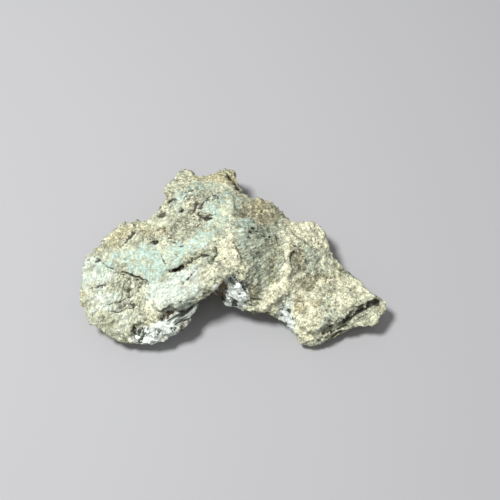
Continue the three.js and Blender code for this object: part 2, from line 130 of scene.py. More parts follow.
# The patch at 17.2, -20.6 is thickened as painted light, to lighten the slab's steep lower-left
# face.
CREAM_AND_LIGHT_PATCHES = [
    (-1.2, -6.6, 2.8, 3.8, 0, 0.85), (1.6, -9.4, 2.4, 2.2, 0, 0.8), (14.2, -0.2, 1.0, 2.4, 0, 0.9),
    (13.1, -5.4, 0.8, 4.2, 0, 0.7), (12.9, -10.8, 1.7, 2.8, 0, 1.1),
    (9.8, -14.2, 3.8, 2.0, 38, 1.1), (19.0, 4.0, 6.4, 4.0, -20, 1.0),
    (24.6, -1.4, 4.4, 1.0, -42, 0.9), (24.0, -13.2, 9.5, 4.4, 20, 0.75),
    (18.6, -18.0, 3.6, 3.0, 30, 1.1), (17.2, -20.6, 3.4, 3.2, 0, 1.3),
    (15.2, -15.6, 1.6, 4.0, 0, 0.8), (30.8, -19.4, 5.5, 0.6, 25, 0.9),
    (37.3, -14.5, 0.8, 2.8, -15, 1.0), (-19.4, -19.0, 2.4, 4.0, 0, 0.6),
    (-6.4, -10.4, 3.0, 2.2, 35, 0.5),
]
PALE_PATCHES = [
    (-18.4, -14.2, 3.0, 3.8, 0, 1.0), (-12.6, -13.6, 6.6, 4.2, 33, 0.85),
    (-33.8, -12.0, 3.4, 5.6, 0, 0.7), (-35.6, -8.0, 2.6, 6.0, 0, 0.6),
    (-31.5, -8.2, 3.4, 2.4, 0, 0.6), (-29.4, -15.8, 2.6, 3.4, 0, 0.5),
    (-26.0, -19.6, 4.0, 2.0, 0, 0.35), (14.0, -16.2, 1.2, 1.8, 20, 1.0),
]
FRESH_PATCHES = [
    (-13.6, -19.2, 6.5, 2.4, 25, 1.0, 9.6), (-20.6, -22.4, 4.4, 2.0, 5, 0.9),
    (-0.6, -13.4, 4.2, 3.2, 0, 1.0, 15.5), (13.0, -18.4, 1.8, 3.6, 25, 0.8),
]
# Brown stains, and at 29.6, -20.8 a painted shadow under the slab's lower ledge.
RUST_AND_SHADOW_PATCHES = [
    (-11.8, -20.0, 2.2, 1.0, 40, 0.7, 8.6), (-5.6, -14.2, 3.0, 2.2, 50, 1.0, 11.0),
    (-3.0, -12.4, 1.6, 1.8, 0, 0.9, 14.5), (8.0, -14.6, 4.0, 2.0, 0, 0.8, 6.5),
    (29.6, -20.8, 6.4, 1.7, 22, 0.55, 4.4), (-15.8, -17.8, 2.4, 0.7, 35, 0.8, 12.0),
]

# Ground with few broken plates.
SMOOTH_PATCHES = [
    (7.0, -4.6, 7.4, 9.6, 0, 1.0), (-11.0, -12.4, 9.5, 4.4, 32, 0.9),
    (-27.0, -12.0, 8.0, 8.0, 0, 0.5),
]

# Ground where many grains have fallen out.
PITTED_PATCHES = [
    (-11.0, 9.0, 9.0, 6.5, 20, 1.0), (-26.0, -12.6, 3.6, 5.0, 0, 0.9),
    (0.2, -13.2, 4.6, 3.0, 0, 0.9), (7.5, 0.8, 5.5, 2.6, 0, 1.0), (15.0, -4.4, 1.8, 4.0, 0, 0.9),
    (22.0, -15.4, 6.5, 2.6, 25, 0.55), (-18.0, 1.0, 5.0, 2.0, 20, 0.8),
    (-33.2, -11.4, 1.6, 2.4, 0, 0.8),
]

# Ground full of small sharp pits.
POCKED_PATCHES = [
    (5.6, 1.8, 1.9, 2.6, 0, 0.6), (14.9, -4.4, 1.1, 3.0, 0, 0.9), (7.6, 6.8, 2.6, 1.8, 30, 0.7),
    (-7.2, 4.8, 2.4, 1.2, 0, 0.9), (-11.6, 4.6, 3.0, 1.2, 20, 0.8),
    (-14.2, -0.6, 3.0, 1.0, 15, 0.8), (-10.8, -7.2, 2.2, 0.9, 40, 0.8),
    (-13.6, 14.6, 3.4, 1.6, 0, 0.8), (-32.6, -10.8, 1.6, 1.6, 0, 0.8),
    (22.8, -16.8, 3.4, 1.2, 20, 0.8), (19.0, 4.2, 3.6, 2.4, 0, 0.6),
    (-22.4, -22.0, 1.8, 1.2, 0, 1.0), (-0.8, -6.6, 2.8, 3.8, 0, 0.7),
    (22.0, 0.6, 4.4, 1.2, -42, 0.8), (22.0, -13.0, 5.0, 3.0, 20, 0.5),
]

# Ground split by many short slanting cracks.
SPLIT_PATCHES = [
    (-9.0, 9.4, 7.4, 7.6, 0, 1.0), (-19.0, 1.0, 7.0, 2.6, 20, 0.7),
    (-26.0, -13.0, 3.8, 5.0, 0, 0.7), (27.0, -12.8, 5.5, 3.4, 20, 0.6),
    (3.0, 9.0, 5.0, 4.0, 0, 0.7), (5.0, 3.0, 5.0, 4.0, 0, 0.7), (18.4, -3.0, 4.0, 4.0, 0, 0.8),
    (22.0, -10.0, 6.0, 3.0, 0, 0.5),
]

# Cracks, seen from above: points, width and depth.
CRACKS = [
    ([(-15.4, -8.9), (-13.0, -8.4), (-10.8, -6.5), (-8.5, -5.7), (-5.9, -6.1)], 0.6, 0.7),
    ([(-15.0, -9.2), (-13.2, -8.8), (-12.2, -7.9)], 0.8, 0.7),
    ([(-4.2, -5.2), (-3.9, -6.6), (-4.3, -8.0)], 0.55, 0.7),
    ([(-28.2, -0.6), (-26.6, 0.9), (-25.2, 2.4)], 0.5, 0.5),
    ([(21.5, -21.8), (25.2, -20.1), (27.6, -18.9)], 0.45, 0.5),
    ([(-11.6, 13.2), (-10.0, 13.9), (-8.3, 14.2)], 0.5, 0.6),
    ([(-13.0, 9.4), (-11.8, 10.6), (-10.6, 11.4)], 0.45, 0.6),
    ([(-9.0, 5.8), (-7.6, 4.2), (-6.0, 3.7)], 0.5, 0.6),
    ([(-7.0, 4.4), (-5.8, 5.2), (-4.4, 4.9)], 0.45, 0.5),
    ([(-5.7, 13.0), (-4.3, 10.9), (-3.4, 8.4)], 0.5, 0.45),
    ([(-36.0, -11.0), (-33.0, -10.4), (-31.2, -10.8)], 0.4, 0.4),
    ([(-12.4, -12.6), (-10.4, -11.0), (-8.8, -9.2)], 0.3, 0.3),
    ([(-31.0, -15.6), (-28.0, -15.4), (-25.0, -14.0)], 0.35, 0.35),
]

# Cleaner cracks.
GROOVES = [
    ([(-4.0, 23.4), (-2.4, 21.4), (-0.4, 18.1), (1.1, 15.4)], 0.9, 1.6),
    ([(0.2, 20.6), (1.1, 18.6), (1.8, 15.6)], 0.7, 1.2),
    ([(-12.9, 15.0), (-11.4, 15.7)], 0.4, 0.5),
    ([(-12.4, 11.9), (-10.6, 12.2)], 0.4, 0.5),
    ([(-11.6, 8.2), (-10.2, 8.9)], 0.35, 0.4),
    ([(-9.4, 2.4), (-7.8, 2.9)], 0.35, 0.4),
    ([(-27.3, -8.1), (-23.7, -9.8), (-20.9, -11.3)], 0.35, 0.5),
    ([(-30.0, -17.0), (-28.2, -17.4), (-26.2, -16.6), (-24.2, -16.4)], 0.3, 0.3),
    ([(-17.8, -5.0), (-16.6, -7.4), (-15.6, -8.8)], 0.25, 0.2),
]

# Edges of broken plates, seen from above: points, height and how far back the plate is raised.
# The raised plate lies to the left of the way that the points run, or, below 0, to the right.
LEDGES = [
    ([(-30.5, -7.2), (-27.5, -8.3), (-23.7, -10.0), (-20.7, -11.5)], 0.4, 3.5),
    ([(-15.4, -8.8), (-13.0, -8.3), (-10.8, -6.3), (-8.5, -5.5), (-5.9, -5.6), (-3.9, -5.4)],
     0.55, 3.0),
    ([(-20.2, -11.4), (-20.1, -13.6), (-19.4, -15.8), (-18.2, -18.2)], 0.6, 3.5),
    ([(-3.8, -5.2), (-4.0, -7.0), (-4.6, -9.0)], 0.6, 2.5),
    ([(25.3, -8.4), (22.0, -10.4), (19.2, -12.1), (15.6, -13.8)], 0.5, 3.0),
    ([(-6.6, 2.6), (-5.2, 4.4), (-3.2, 4.8), (-1.8, 3.0), (-1.9, -0.8)], -0.3, 2.0),
    ([(3.6, -11.4), (1.4, -11.6), (-1.6, -10.4)], 0.35, 2.0),
    ([(-24.0, -23.0), (-24.6, -20.4), (-21.0, -19.2), (-19.0, -19.4)], 0.5, 3.0),
    ([(21.0, -21.0), (22.4, -20.2), (23.2, -19.2), (24.6, -19.6), (25.4, -18.4), (26.8, -18.4)],
     0.5, 2.5),
]

# Side faces that lie back under a ledge: patch, with its highest z, and how far back.
UNDERCUTS = [
    ((29.6, -20.6, 6.4, 2.2, 22, 1.0, 4.4), 1.5),
    ((20.0, -23.6, 4.0, 1.6, 10, 1.0, 2.2), 0.5),
    ((-15.8, -18.0, 2.4, 0.8, 35, 1.0, 11.4), 0.6),
]

# Where a lower ledge cuts further back into the slab above it: the new back edge, seen from above,
# and the ledge's level at a place, with its rise for each millimetre along x and y.
CUT_BACK = [
    (26.6, -18.3), (27.6, -17.5), (28.3, -17.4), (29.2, -16.3),
    (30.2, -16.1), (30.9, -15.5), (32.2, -15.4), (34.4, -13.9),
]
CUT_LEVEL = (31.0, -16.2, 6.6, 0.2, 0.2)

# Raised seams, seen from above: points, half width and height.
SEAMS = [
    ([(14.5, 0.8), (13.1, -1.6), (13.7, -3.6), (12.4, -5.6), (13.0, -8.0)], 0.8, 0.35),
    ([(12.6, -8.6), (12.6, -11.2), (9.6, -14.2), (7.4, -15.6)], 1.7, 0.4),
    ([(17.6, 2.2), (21.4, -0.6), (25.4, -4.0)], 0.7, 0.3),
    ([(-1.6, 12.6), (-0.6, 9.0), (-0.4, 5.0), (0.6, 1.4)], 0.8, 0.3),
    ([(-14.8, 8.4), (-12.0, 9.6), (-9.0, 12.2), (-6.2, 15.6)], 0.7, 0.25),
    ([(-17.4, 4.6), (-13.6, 5.6), (-9.8, 8.8), (-7.2, 9.4)], 0.7, 0.25),
]

# Pits where grains have fallen out: x, y, half length, half width, depth.
PITS = [
    (-12.7, 7.5, 0.8, 0.7, 1.3), (-8.9, 6.0, 0.5, 0.7, 0.9), (-34.9, -21.0, 0.6, 0.6, 0.6),
    (-15.9, 11.0, 1.2, 0.6, 0.7), (-18.6, 7.4, 1.1, 0.7, 0.9), (-19.6, -1.0, 1.2, 0.8, 1.1),
    (-33.5, -4.3, 1.1, 0.5, 0.7), (-6.6, 3.8, 0.9, 0.45, 0.8), (-5.2, 5.2, 0.8, 0.4, 0.6),
    (4.9, 1.7, 0.5, 0.5, 0.7), (5.9, 0.9, 0.45, 0.5, 0.7), (4.3, 0.0, 0.4, 0.5, 0.6),
    (4.0, -1.7, 0.4, 0.4, 0.5), (6.2, -0.9, 0.5, 0.4, 0.5), (7.7, -0.5, 0.5, 0.3, 0.5),
    (9.0, 0.2, 0.5, 0.3, 0.4), (10.8, 0.2, 0.5, 0.3, 0.4), (6.9, 2.9, 0.5, 0.5, 0.6),
    (-24.0, -21.4, 0.5, 1.0, 0.6), (-22.6, -22.6, 0.7, 0.6, 0.6), (-15.7, -0.4, 0.6, 0.35, 0.5),
    (-14.5, -1.7, 0.7, 0.35, 0.5), (-12.6, -3.0, 0.6, 0.35, 0.4), (35.2, -13.9, 0.8, 1.1, 0.5),
]

# Ground where the grain is drawn out: patch, whether the strands run "round" a middle or "away"
# from it, that middle, width and stretch of a strand, and the height of the relief.
DRAWN_GRAIN = [
    ((-10.5, 9.0, 9.5, 8.0, 20, 0.7), "round", (25.0, -39.0), 0.8, 2.6, 0.13),
    ((7.2, -5.4, 7.6, 9.6, 0, 1.0), "away", (20.0, 2.5), 0.62, 16.0, 0.13),
    ((-27.5, -12.0, 9.0, 8.4, 0, 1.0), "round", (-48.5, -4.2), 0.55, 5.0, 0.09),
    ((-11.0, -12.4, 9.5, 4.6, 32, 1.0), "round", (-40.0, 30.0), 0.5, 8.0, 0.08),
    ((18.6, -6.0, 4.6, 4.4, 0, 1.0), "round", (40.0, -14.0), 0.6, 4.0, 0.12),
    ((-20.0, -5.0, 10.0, 4.0, 0, 0.8), "round", (-26.0, -40.0), 0.7, 5.0, 0.05),
    ((26.0, -13.0, 9.0, 7.0, 0, 0.8), "round", (10.0, -44.0), 0.7, 4.0, 0.10),
    ((0.6, -13.4, 5.6, 3.6, 0, 1.0), "round", (30.0, 20.0), 0.8, 5.0, 0.22),
    ((30.0, -18.6, 8.0, 2.0, 28, 1.0), "round", (8.0, 22.0), 0.6, 5.0, 0.12),
]

# How the plain solid's straight edges are made ragged: spacing and reach of each sway, and a seed.
SHAKE = [(3.2, 0.35, 11), (1.3, 0.22, 15)]
SHAKE_FROM, SHAKE_TO = 0.2, 1.5  # heights over which it sets in, so that the feet stay flat

# Thin broken plates: spacing, steps, a seed, height and how much of it smooth ground loses.
PLATES = [(6.5, 2.6, 131, 0.42, 0.8), (2.6, 1.8, 151, 0.20, 0.7)]

# Heights and depths of the relief, in millimetres.
SWELL_HEIGHT = 0.16
FISSURE_DEPTH = 0.32
SPLIT_DEPTH = 0.42
COARSE_HEIGHT, MID_HEIGHT, FINE_HEIGHT = 0.1, 0.1, 0.09
SLAB_HEIGHT, FLAKE_HEIGHT = 0.34, 0.2
SIDE_HOLLOW_DEPTH = 0.35
FALLEN_DEPTH = 0.38
ROOM_ABOVE = 0.3  # how far the relief may rise over the solid's top
CAVITY_FROM, CAVITY_TO = 0.08, 0.34  # depths at which sunken ground is darkened with dirt and painted shade

# Rounds of averaging for the skin's corners and normals, and round a cavity.
SKIN_ROUNDS, NORMAL_ROUNDS, CAVITY_ROUNDS = 2, 4, 8
UNDERSIDE = -0.4  # the underside's normals point further down than this

# Shares of what the tables above give.
CRACK_DEPTH_SHARE = 0.75
PIT_DEPTH_SHARE = 0.6
LEDGE_FOOT_SHARE = 0.35  # how far the ground in front of a ledge sinks

# Spacing of the grains, in millimetres, and the share of them that have fallen out.
COARSE_GRAIN = 2.4
MID_GRAIN, MID_LOST = 1.25, 0.08
FINE_GRAIN = 0.66
SIDE_SLAB, SIDE_FLAKE = 3.4, 1.7
SIDE_SQUASH = 2.6  # how much flatter than wide the grains of the steep sides are
SIDE_DIP = 0.12  # how far their layers sink for each millimetre along x

# Cracks of split ground: the way they run, and how far the noise is drawn out along them.
SPLIT_WAY = (0.8, 0.6)
SPLIT_STRETCH = 0.35


def lattice_value(cells, seed):
    """A repeatable number from 0 to 1 for each whole-number cell."""
    parts = cells.astype(np.int64).astype(np.uint64)
    mixed = parts[..., 0] * np.uint64(73856093)
    mixed ^= parts[..., 1] * np.uint64(19349663)
    mixed ^= parts[..., 2] * np.uint64(83492791)
    mixed += np.uint64(seed * 2654435761)
    for shift, factor in ((15, 2246822519), (13, 3266489917)):
        mixed = (mixed ^ (mixed >> np.uint64(shift))) * np.uint64(factor)
    mixed ^= mixed >> np.uint64(16)
    return (mixed & np.uint64(0xFFFFFF)).astype(float) / 0xFFFFFF


def ramp(value, low, high):
    """0 below low, 1 above high, and a soft rise between them."""
    share = np.clip((value - low) / (high - low), 0, 1)
    return share * share * (3 - 2 * share)


def smooth_noise(points, spacing, seed):
    """Soft noise from -1 to 1 with swells about a spacing apart."""
    places = points / spacing
    cells = np.floor(places)
    inside = places - cells
    inside = inside * inside * (3 - 2 * inside)
    total = np.zeros(len(points))
    for corner in np.ndindex(2, 2, 2):
        weight = np.ones(len(points))
        for axis in range(3):
            weight *= inside[:, axis] if corner[axis] else 1 - inside[:, axis]
        total += weight * lattice_value(cells + corner, seed)
    return total * 2 - 1


def layered_noise(points, spacing, layers, seed, fade=0.55):
    """Several layers of soft noise, each half the size and weaker than the last."""
    total = np.zeros(len(points))
    strength, reach = 1.0, 0.0
    for layer in range(layers):
        total += strength * smooth_noise(points, spacing / 2**layer, seed + layer)
        reach += strength
        strength *= fade
    return total / reach


def sway(points, spacing, seed):
    """Soft noise in three directions."""
    return np.stack([smooth_noise(points, spacing, seed + axis) for axis in range(3)], axis=1)


def swayed(points):
    """Points moved a little by soft noise, so that what is laid out on them runs unevenly."""
    return points + sway(points, 1.3, 90) * 0.35


class Grains:
    """Angular grains that fill space. Each point has the height of its grain's broken face, from
    -1 to 1, whether the grain has fallen out, and the grain's middle and number."""

    KEEN = 18.0  # how sharply one grain's face gives way to the next
    LEAST = 1e-9

    def __init__(self, points, spacing, seed, slope=0.8, lost=0.12):
        places = points / spacing
        home = np.floor(places)
        nearest = np.full(len(points), np.inf)
        middle = np.zeros_like(places)
        self.number = np.zeros(len(points))
        weights = np.full(len(points), self.LEAST)
        face = np.zeros(len(points))
        missing = np.zeros(len(points))
        for step in np.ndindex(3, 3, 3):
            cell = home + step - 1
            centre = [lattice_value(cell, seed + axis) for axis in range(3)]
            centre = cell + np.stack(centre, axis=1)
            number = lattice_value(cell, seed + 3)
            turn = lattice_value(cell, seed + 4) * 2 * math.pi
            away = places - centre
            distance = np.einsum("ij,ij->i", away, away)
            weight = np.exp(-self.KEEN * distance)
            tilt = away[:, 0] * np.cos(turn) + away[:, 1] * np.sin(turn)
            tilt = tilt + away[:, 2] * np.sin(turn * 2)
            face += weight * (number * 2 - 1 + slope * tilt)
            missing += weight * (number < lost)
            weights += weight
            closer = distance < nearest
            nearest = np.where(closer, distance, nearest)
            middle[closer] = centre[closer]
            self.number[closer] = number[closer]
        self.face = face / weights
        self.missing = missing / weights
        self.middle = middle * spacing


def fine_grains(points):
    """The finest modelled grains."""
    return Grains(points, FINE_GRAIN, 281)


def plates(points, spacing, steps, seed):
    """Height from -0.4 to 0.4 of thin broken plates that dip away from sharp edges."""
    level = layered_noise(points, spacing, 4, seed) * steps
    part = level - np.floor(level)
    return ramp(part, 0.0, 0.16) - part - 0.42


def frayed(points, grain, reach, seed):
    """The points seen from above, moved by noise and drawn to the middles of their grains."""
    shift = [layered_noise(points, 3.2, 4, seed + 11 * axis) for axis in range(2)]
    return 0.4 * points[:, :2] + 0.6 * grain.middle[:, :2] + np.stack(shift, axis=1) * reach


def torn(points, fine):
    """The points seen from above, frayed for edges that break along the fine grains."""
    return frayed(points, fine, 0.9, 71)


def patches(plan, places, rise=None, soft=0.35):
    """How strongly each point, at its rise over the floor, lies in a set of soft-edged patches."""
    total = np.zeros(len(plan))
    for x, y, length, width, turn, strength, *highest in places:
        angle = math.radians(turn)
        dx, dy = plan[:, 0] - x, plan[:, 1] - y
        along = (dx * math.cos(angle) + dy * math.sin(angle)) / length
        across = (dy * math.cos(angle) - dx * math.sin(angle)) / width
        inside = strength * ramp(-np.hypot(along, across), -1 - soft, -1 + soft)
        for limit in highest:
            inside *= ramp(-rise, -limit - 0.5, -limit)
        total = np.maximum(total, inside)
    return total


def line_distance(plan, line):
    """Distance from each point, seen from above, to a line of points, the side that the point is
    on, +1 to the left, and how far it is past the line's ends."""
    nothing = np.zeros(len(plan))
    found = np.stack([nothing + np.inf, nothing, nothing])
    last = len(line) - 2
    for index, (start, end) in enumerate(zip(line[:-1], line[1:])):
        run = np.subtract(end, start)
        length = np.hypot(*run)
        share = (plan - start) @ run / length**2
        gap = plan - (start + np.clip(share, 0, 1)[:, None] * run)
        away = np.hypot(*gap.T)
        beyond = nothing
        if index == 0:
            beyond = np.maximum(beyond, -share * length)
        if index == last:
            beyond = np.maximum(beyond, (share - 1) * length)
        turned = run[0] * (plan[:, 1] - start[1]) - run[1] * (plan[:, 0] - start[0])
        found = np.where(away < found[0], (away, np.sign(turned), beyond), found)
    return found


def drawn_out(points, place, way, middle, stretch):
    """Points laid out so that grains made on them are stretched round a middle or away from it."""
    to_place = np.subtract(place[:2], middle)
    away = points[:, :2] - middle
    turned = to_place[0] * away[:, 1] - to_place[1] * away[:, 0]
    arc = np.arctan2(turned, away @ to_place) * np.hypot(*to_place)
    radius = np.hypot(*away.T)
    across, along = (radius, arc) if way == "round" else (arc, radius)
    bend = smooth_noise(points, 3.0, 303) * 0.4
    return np.stack([across + bend, along / stretch, points[:, 2] * 0.4], axis=1)


def cut_back(points, bent, torn_plan):
    """How far the ledge in front of the slab drops at each point, in millimetres, and a mask of the
    slab's bared edge, where painted shade darkens the wall of the step."""
    clean_plan = bent[:, :2]
    away, side, past = line_distance(clean_plan + 0.3 * (torn_plan - clean_plan), CUT_BACK)
    before = -away * side
    ends = ramp(-past, -0.3, 0.0)
    lowered = ramp(before, -0.12, 0.12) * ramp(-away, -1.9, -1.6) * ends
    bared_edge_shade = ramp(before, -0.22, -0.02) * ramp(-away, -1.0, -0.55) * ends
    x, y, level, along_x, along_y = CUT_LEVEL
    floor = level + along_x * (points[:, 0] - x) + along_y * (points[:, 1] - y)
    return lowered * np.maximum(points[:, 2] - floor, 0), bared_edge_shade


class Weathering:
    """The weathered relief of the lump's skin. Each step adds to the height of the points over the
    plain surface, in millimetres, or marks the hollows that get dirt and painted shade."""

    def __init__(self, points, normals):
        self.points = points
        self.up = up = normals[:, 2]
        self.top = ramp(up, 0.05, 0.35)
        self.steep = np.where(up > 0, ramp(-up, -0.75, -0.35), ramp(up, -0.97, -0.75))
        self.bent = swayed(points)
        self.coarse = Grains(self.bent, COARSE_GRAIN, 201)
        self.mid = Grains(self.bent, MID_GRAIN, 241, lost=MID_LOST)
        self.fine = fine_grains(points)
        self.plan = frayed(points, self.mid, 1.0, 21)
        self.close_plan = frayed(points, self.fine, 0.35, 51)
        self.torn_plan = torn(points, self.fine)
        self.mint = patches(self.plan, MINT_PATCHES)
        self.pitted = np.maximum(0.25, patches(self.plan, PITTED_PATCHES))
        self.fresh = patches(self.close_plan, FRESH_PATCHES, points[:, 2])
        self.calm = 1 - np.maximum(0.5 * self.mint, 0.55 * self.fresh)
        self.lay = points.copy()
        self.drawn = np.zeros(len(points))
        self.hollow = np.zeros(len(points))
        self.height = SWELL_HEIGHT * layered_noise(points, 5.5, 3, 101)
        self.break_plates()
        self.crack_ground()
        self.draw_grain()
        self.break_sides()
        self.drop_grains()
        self.raise_lines()
        self.open_ground()
        self.cut_under()

    def soil_and_shade(self, share):
        """Marks hollows that get dirt and painted shade."""
        self.hollow = np.maximum(self.hollow, share)

    def break_plates(self):
        """Thin plates with sharp edges, but few on smooth ground."""
        crust = np.maximum(0.7 * self.mint, self.fresh)
        smooth = np.maximum(patches(self.plan, SMOOTH_PATCHES), crust)
        for spacing, steps, seed, rise, loss in PLATES:
            level = plates(self.bent, spacing, steps, seed)
            self.height += rise * (1 - loss * smooth) * self.top * level

    def crack_ground(self):
        """Long wandering fissures, and ground split by short slanting cracks."""
        low = self.bent * (1.0, 1.0, 0.6)
        wander = np.abs(layered_noise(low, 5.0, 3, 111))
        self.fissure = ramp(-wander, -0.045, -0.008) * (0.35 + 0.65 * self.pitted) * self.top
        self.height -= FISSURE_DEPTH * self.fissure

        x, y, z = self.bent.T
        way_x, way_y = SPLIT_WAY
        along, across = way_x * x + way_y * y, way_x * y - way_y * x
        slanted = np.stack([SPLIT_STRETCH * along, across, SPLIT_STRETCH * z], axis=1)
        wander = np.abs(layered_noise(slanted, 1.6, 2, 171))
        here = ramp(layered_noise(self.bent, 3.0, 2, 181), -0.05, 0.15)
        here = here * patches(self.plan, SPLIT_PATCHES) * self.top
        self.split = ramp(-wander, -0.17, -0.06) * here
        self.height -= SPLIT_DEPTH * self.split

    def draw_grain(self):
        """Grain drawn out into strands, and plain grain elsewhere."""
        streaks = np.zeros(len(self.points))
        for place, way, middle, width, stretch, depth in DRAWN_GRAIN:
            inside = patches(self.plan, [place]) * ramp(self.up, 0.0, 0.4)
            laid_out = drawn_out(self.points, place, way, middle, stretch)
            strands = Grains(laid_out, width, 301)
            streaks += inside * depth * strands.face
            most = inside > self.drawn
            self.lay[most] = laid_out[most]
            self.drawn = np.maximum(self.drawn, inside)
            self.soil_and_shade(inside * self.pitted * strands.missing)
        self.height += streaks
        faces = COARSE_HEIGHT * self.coarse.face + MID_HEIGHT * self.mid.face
        self.height += (1 - 0.6 * self.drawn) * self.calm * faces
        self.height += FINE_HEIGHT * self.calm * self.fine.face

    def break_sides(self):
        """Broken layers on the steep sides: grains squashed flat."""
        x, y, z = self.bent.T
        flat = np.stack([x, y, (z + SIDE_DIP * x) * SIDE_SQUASH], axis=1)
        slabs = Grains(flat, SIDE_SLAB, 331)
        self.flakes = Grains(flat, SIDE_FLAKE, 351)
        self.height += self.steep * (SLAB_HEIGHT * slabs.face + FLAKE_HEIGHT * self.flakes.face)
        slabs_gone = slabs.missing * (self.mid.number < 0.5)
        self.side_hollow = self.steep * np.maximum(0.8 * self.flakes.missing, slabs_gone)
        self.height -= SIDE_HOLLOW_DEPTH * self.side_hollow

    def drop_grains(self):
        """Hollows where grains have fallen out, small sharp pits, and dirt and painted shade in the
        cracks so far.
        """
        gone = np.maximum(self.mid.missing, 0.7 * self.fine.missing)
        fallen = self.pitted * self.top * self.calm * (1 - 0.6 * self.drawn) * gone
        sharp = ramp(-self.fine.number, -0.3, -0.22)
        pocked = patches(self.close_plan, POCKED_PATCHES) * self.top * sharp
        self.soil_and_shade(np.maximum(fallen, pocked))
        self.height -= FALLEN_DEPTH * self.hollow
        self.hollow *= 0.75
        for share, crack in ((0.6, self.fissure), (0.6, self.side_hollow), (0.95, self.split)):
            self.soil_and_shade(share * crack)

    def raise_lines(self):
        """Edges of broken plates, raised behind and sunk in front, and low uneven ridges."""
        for line, rise, back in LEDGES:
            away, side, past = line_distance(self.close_plan, line)
            behind = ramp(away * side, -0.15, 0.15)
            body = behind * (1 - ramp(away, 0, back))
            foot = (1 - behind) * (1 - ramp(away, 0, back * 0.5))
            if rise < 0:
                body, foot = foot * (1 - ramp(away, 0, back)), body
            held = 1 - ramp(past, 0.0, 1.5)
            self.height += abs(rise) * self.top * held * (body - LEDGE_FOOT_SHARE * foot)
        uneven = 1 + 0.5 * smooth_noise(self.points, 2.2, 371)
        for line, width, rise in SEAMS:
            away, _, _ = line_distance(self.close_plan, line)
            ridge = 1 - ramp(away, width * 0.4, width * 1.4)
            self.height += rise * uneven * self.top * ridge

    def open_ground(self):
        """Cracks, ragged or clean, and pits with ragged rims."""
        clean_plan = self.bent[:, :2]
        for lines, line_plan in ((CRACKS, self.torn_plan), (GROOVES, clean_plan)):
            for line, width, depth in lines:
                away, _, _ = line_distance(line_plan, line)
                opening = ramp(-away / (width * 0.55), -1.4, -0.5) * ramp(self.up, -0.25, 0.2)
                self.height -= depth * CRACK_DEPTH_SHARE * opening
                self.soil_and_shade(opening)
        pit_plan = 0.5 * (self.torn_plan + clean_plan)
        rim = 0.9 * layered_noise(self.points, 1.1, 2, 191)
        for x, y, length, width, depth in PITS:
            reach = np.hypot((pit_plan[:, 0] - x) / length, (pit_plan[:, 1] - y) / width)
            opening = ramp(-reach - rim, -1.25, -0.7) * self.top
            self.height -= depth * PIT_DEPTH_SHARE * opening
            self.soil_and_shade(0.9 * opening)

    def cut_under(self):
        """Painted shade on the slab's bared edge, and side faces set back under their ledges."""
        _, bared_edge_shade = cut_back(self.points, self.bent, self.torn_plan)
        self.soil_and_shade(0.95 * bared_edge_shade)
        for place, back in UNDERCUTS:
            self.height -= back * patches(self.close_plan, [place], self.points[:, 2], soft=0.25)

    def masks(self):
        """Masks of the crusts and the grain. The steep sides have stains of their own."""
        upper = ramp(self.up, -0.1, 0.3)
        tall = self.bent * (1.0, 1.0, 1.8)
        stain = layered_noise(tall, 6.0, 4, 401)
        bloom = layered_noise(self.bent, 7.0, 4, 421)
        umber = 0.9 * self.steep * ramp(stain, 0.02, 0.3)
        ochre = 0.8 * self.steep * ramp(-stain, 0.08, 0.35)
        mint = 0.7 * self.steep * ramp(bloom, 0.15, 0.4)
        layers = self.mid.number * (1 - self.steep) + self.flakes.number * self.steep
        plan, close_plan = self.plan, self.close_plan
        return {
            "mint": np.maximum(self.mint * upper, mint),
            "ochre": np.maximum(patches(plan, OCHRE_PATCHES) * upper, ochre),
            "grey_and_shade": patches(close_plan, GREY_AND_SHADE_PATCHES, soft=0.22),
            "cream": patches(close_plan, CREAM_AND_LIGHT_PATCHES, soft=0.25),
            "umber": np.maximum(patches(plan, UMBER_PATCHES) * upper, umber),
            "pale": patches(plan, PALE_PATCHES),
            "fresh": self.fresh,
            "rust_and_shade": patches(close_plan, RUST_AND_SHADOW_PATCHES, self.points[:, 2]),
            "grain": 0.5 * layers + 0.5 * self.fine.number,
            "pitted": self.pitted,
            "drawn": self.drawn,
        }


def mesh_arrays(mesh):
    """Corner positions in millimetres and corner normals."""
    arrays = []
    for name in ("co", "normal"):
        values = np.empty(len(mesh.vertices) * 3, dtype=np.float32)
        mesh.vertices.foreach_get(name, values)
        arrays.append(values.reshape(-1, 3).astype(float))
    return arrays[0] / MM, arrays[1]


def move_corners(mesh, points):
    """Moves a mesh's corners to points given in millimetres."""
    mesh.vertices.foreach_set("co", (points * MM).astype(np.float32).ravel())
    mesh.update()


def store_mask(mesh, name, values):
    """Keeps a mask on the mesh's corners for the finish to read."""
    layer = mesh.attributes.new(name, "FLOAT", "POINT")
    layer.data.foreach_set("value", values.astype(np.float32))


def neighbour_mean(mesh, values, rounds):
    """Values averaged over the corners joined by an edge, a number of times."""
    edges = np.empty(len(mesh.edges) * 2, dtype=np.int32)
    mesh.edges.foreach_get("vertices", edges)
    starts, ends = edges.reshape(-1, 2).T
    size = len(values)
    count = np.maximum(np.bincount(edges, minlength=size).astype(float), 1)
    for _ in range(rounds):
        columns = []
        for column in values.T:
            total = np.bincount(starts, weights=column[ends], minlength=size)
            total += np.bincount(ends, weights=column[starts], minlength=size)
            columns.append(total / count)
        values = 0.5 * values + 0.5 * np.stack(columns, axis=1)
    return values


def bake_modifiers(context, item):
    """Gives an object the mesh that its modifiers make, in place of its own, and returns it."""
    graph = context.evaluated_depsgraph_get()
    mesh = bpy.data.meshes.new_from_object(item.evaluated_get(graph))
    item.modifiers.clear()
    item.data = mesh
    mesh.name = item.name
    return mesh


def even_skin(context, item, spacing):
    """Gives an object an even skin of small faces over the same shape, and returns its mesh."""
    even = item.modifiers.new("even skin", "REMESH")
    even.mode = "VOXEL"
    even.voxel_size = spacing
    mesh = bake_modifiers(context, item)
    if len(mesh.polygons) == 0:
        raise RuntimeError("the stone's skin is empty")
    return mesh


